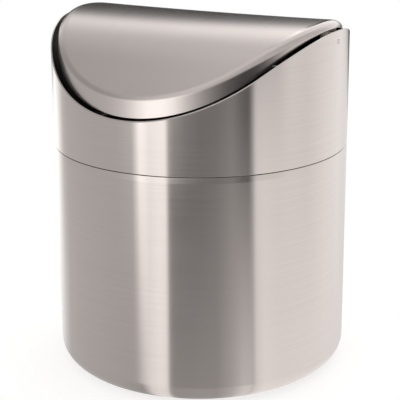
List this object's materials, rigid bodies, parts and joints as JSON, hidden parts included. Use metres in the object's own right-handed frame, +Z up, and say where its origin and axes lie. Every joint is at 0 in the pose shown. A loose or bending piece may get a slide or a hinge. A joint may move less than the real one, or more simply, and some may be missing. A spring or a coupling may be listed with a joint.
{
  "type": "countertop trash can with swing lid",
  "caption": "Small round brushed steel countertop bin with a lift-off saddle-cut collar and an arched lid that swings both ways on side pivots.",
  "frame": {"origin": "centre of the base pad's underside, on the can's axis, at the level of the counter", "axes": "+Z up; +X along the lid's swing axis, to the right as seen from the front; -Y to the front"},
  "size_m": [0.127, 0.127, 0.1523],
  "materials": {
    "brushed_can": "stainless sheet, brushed round the can",
    "brushed_collar": "stainless sheet, brushed round the collar",
    "brushed_lid": "stainless sheet, brushed from front to rear over its roof",
    "mill_steel": "stainless sheet with its dull mill surface",
    "weight_steel": "zinc-plated flat bar",
    "turned_steel": "turned stainless bar",
    "spring_steel": "blackened spring steel",
    "nylon": "moulded natural nylon",
    "pad_rubber": "foamed rubber sheet"
  },
  "bodies": {
    "can": {"can_wall": "brushed_can", "can_floor": "mill_steel", "base_pad": "pad_rubber"},
    "collar": {"collar_band": "brushed_collar", "collar_spigot": "mill_steel", "pivot_pin_left": "turned_steel", "pivot_pin_right": "turned_steel", "pivot_spacer_left": "nylon", "pivot_spacer_right": "nylon", "pin_retainer_left": "spring_steel", "pin_retainer_right": "spring_steel"},
    "lid": {"lid_shell": "brushed_lid", "lid_weight_front": "weight_steel", "lid_weight_rear": "weight_steel", "lid_strap_left": "mill_steel", "lid_strap_right": "mill_steel"}
  },
  "joints": [
    {"name": "collar_lift", "type": "slide", "parent": "can", "child": "collar", "axis": [0, 0, 1], "range_m": [0, 0.03]},
    {"name": "lid_swing", "type": "hinge", "parent": "collar", "child": "lid", "pos_m": [0, 0, 0.1446], "axis": [1, 0, 0], "range_deg": [-90, 90]}
  ]
}
